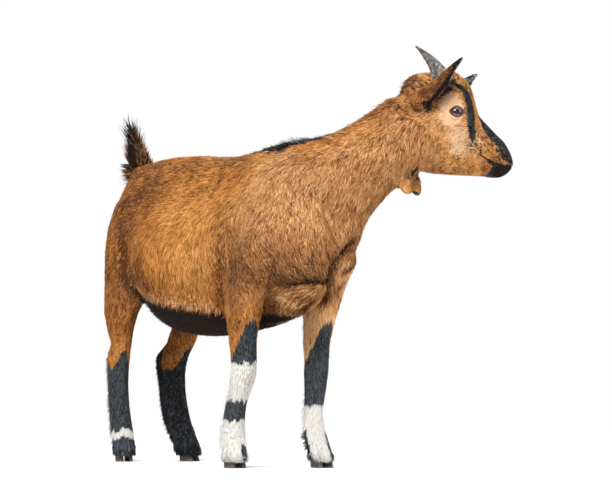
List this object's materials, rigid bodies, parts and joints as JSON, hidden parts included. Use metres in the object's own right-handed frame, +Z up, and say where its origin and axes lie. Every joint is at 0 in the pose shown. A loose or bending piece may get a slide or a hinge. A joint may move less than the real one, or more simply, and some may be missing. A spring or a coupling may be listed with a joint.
{
  "type": "goat",
  "caption": "Young dwarf goat standing on four feet, head turned to its left, with short horns, upright tail, throat wattles and a short coat",
  "frame": {"origin": "on the floor, below the middle of the bounding box", "axes": "+X runs forward along the trunk, +Y to the goat's left, +Z up; the head and neck bend to the left, towards +Y"},
  "size_m": [0.634, 0.3628, 0.5987],
  "materials": {
    "coat": "short tan coat with darker flecks, a dark back line and face stripes and a black belly",
    "leg_coat": "black coat, tan above and white in bands on the feet",
    "eye": "moist, glossy, brown with a dark level pupil",
    "horn": "grey, ringed and fibrous, satin",
    "hoof": "dark grey-brown horn, dull"
  },
  "bodies": {
    "root": {"trunk": "coat", "neck": "coat", "head": "coat", "ear_right": "coat", "ear_left": "coat", "wattle_right": "coat", "wattle_left": "coat", "leg_front_right": "leg_coat", "leg_front_left": "leg_coat", "leg_hind_right": "leg_coat", "leg_hind_left": "leg_coat", "tail": "leg_coat", "eye_right": "eye", "eye_left": "eye", "horn_right": "horn", "horn_left": "horn", "hoof_front_right_right": "hoof", "hoof_front_right_left": "hoof", "hoof_front_left_right": "hoof", "hoof_front_left_left": "hoof", "hoof_hind_right_right": "hoof", "hoof_hind_right_left": "hoof", "hoof_hind_left_right": "hoof", "hoof_hind_left_left": "hoof", "dewclaw_front_right_right": "hoof", "dewclaw_front_right_left": "hoof", "dewclaw_front_left_right": "hoof", "dewclaw_front_left_left": "hoof", "dewclaw_hind_right_right": "hoof", "dewclaw_hind_right_left": "hoof", "dewclaw_hind_left_right": "hoof", "dewclaw_hind_left_left": "hoof"}
  },
  "joints": []
}
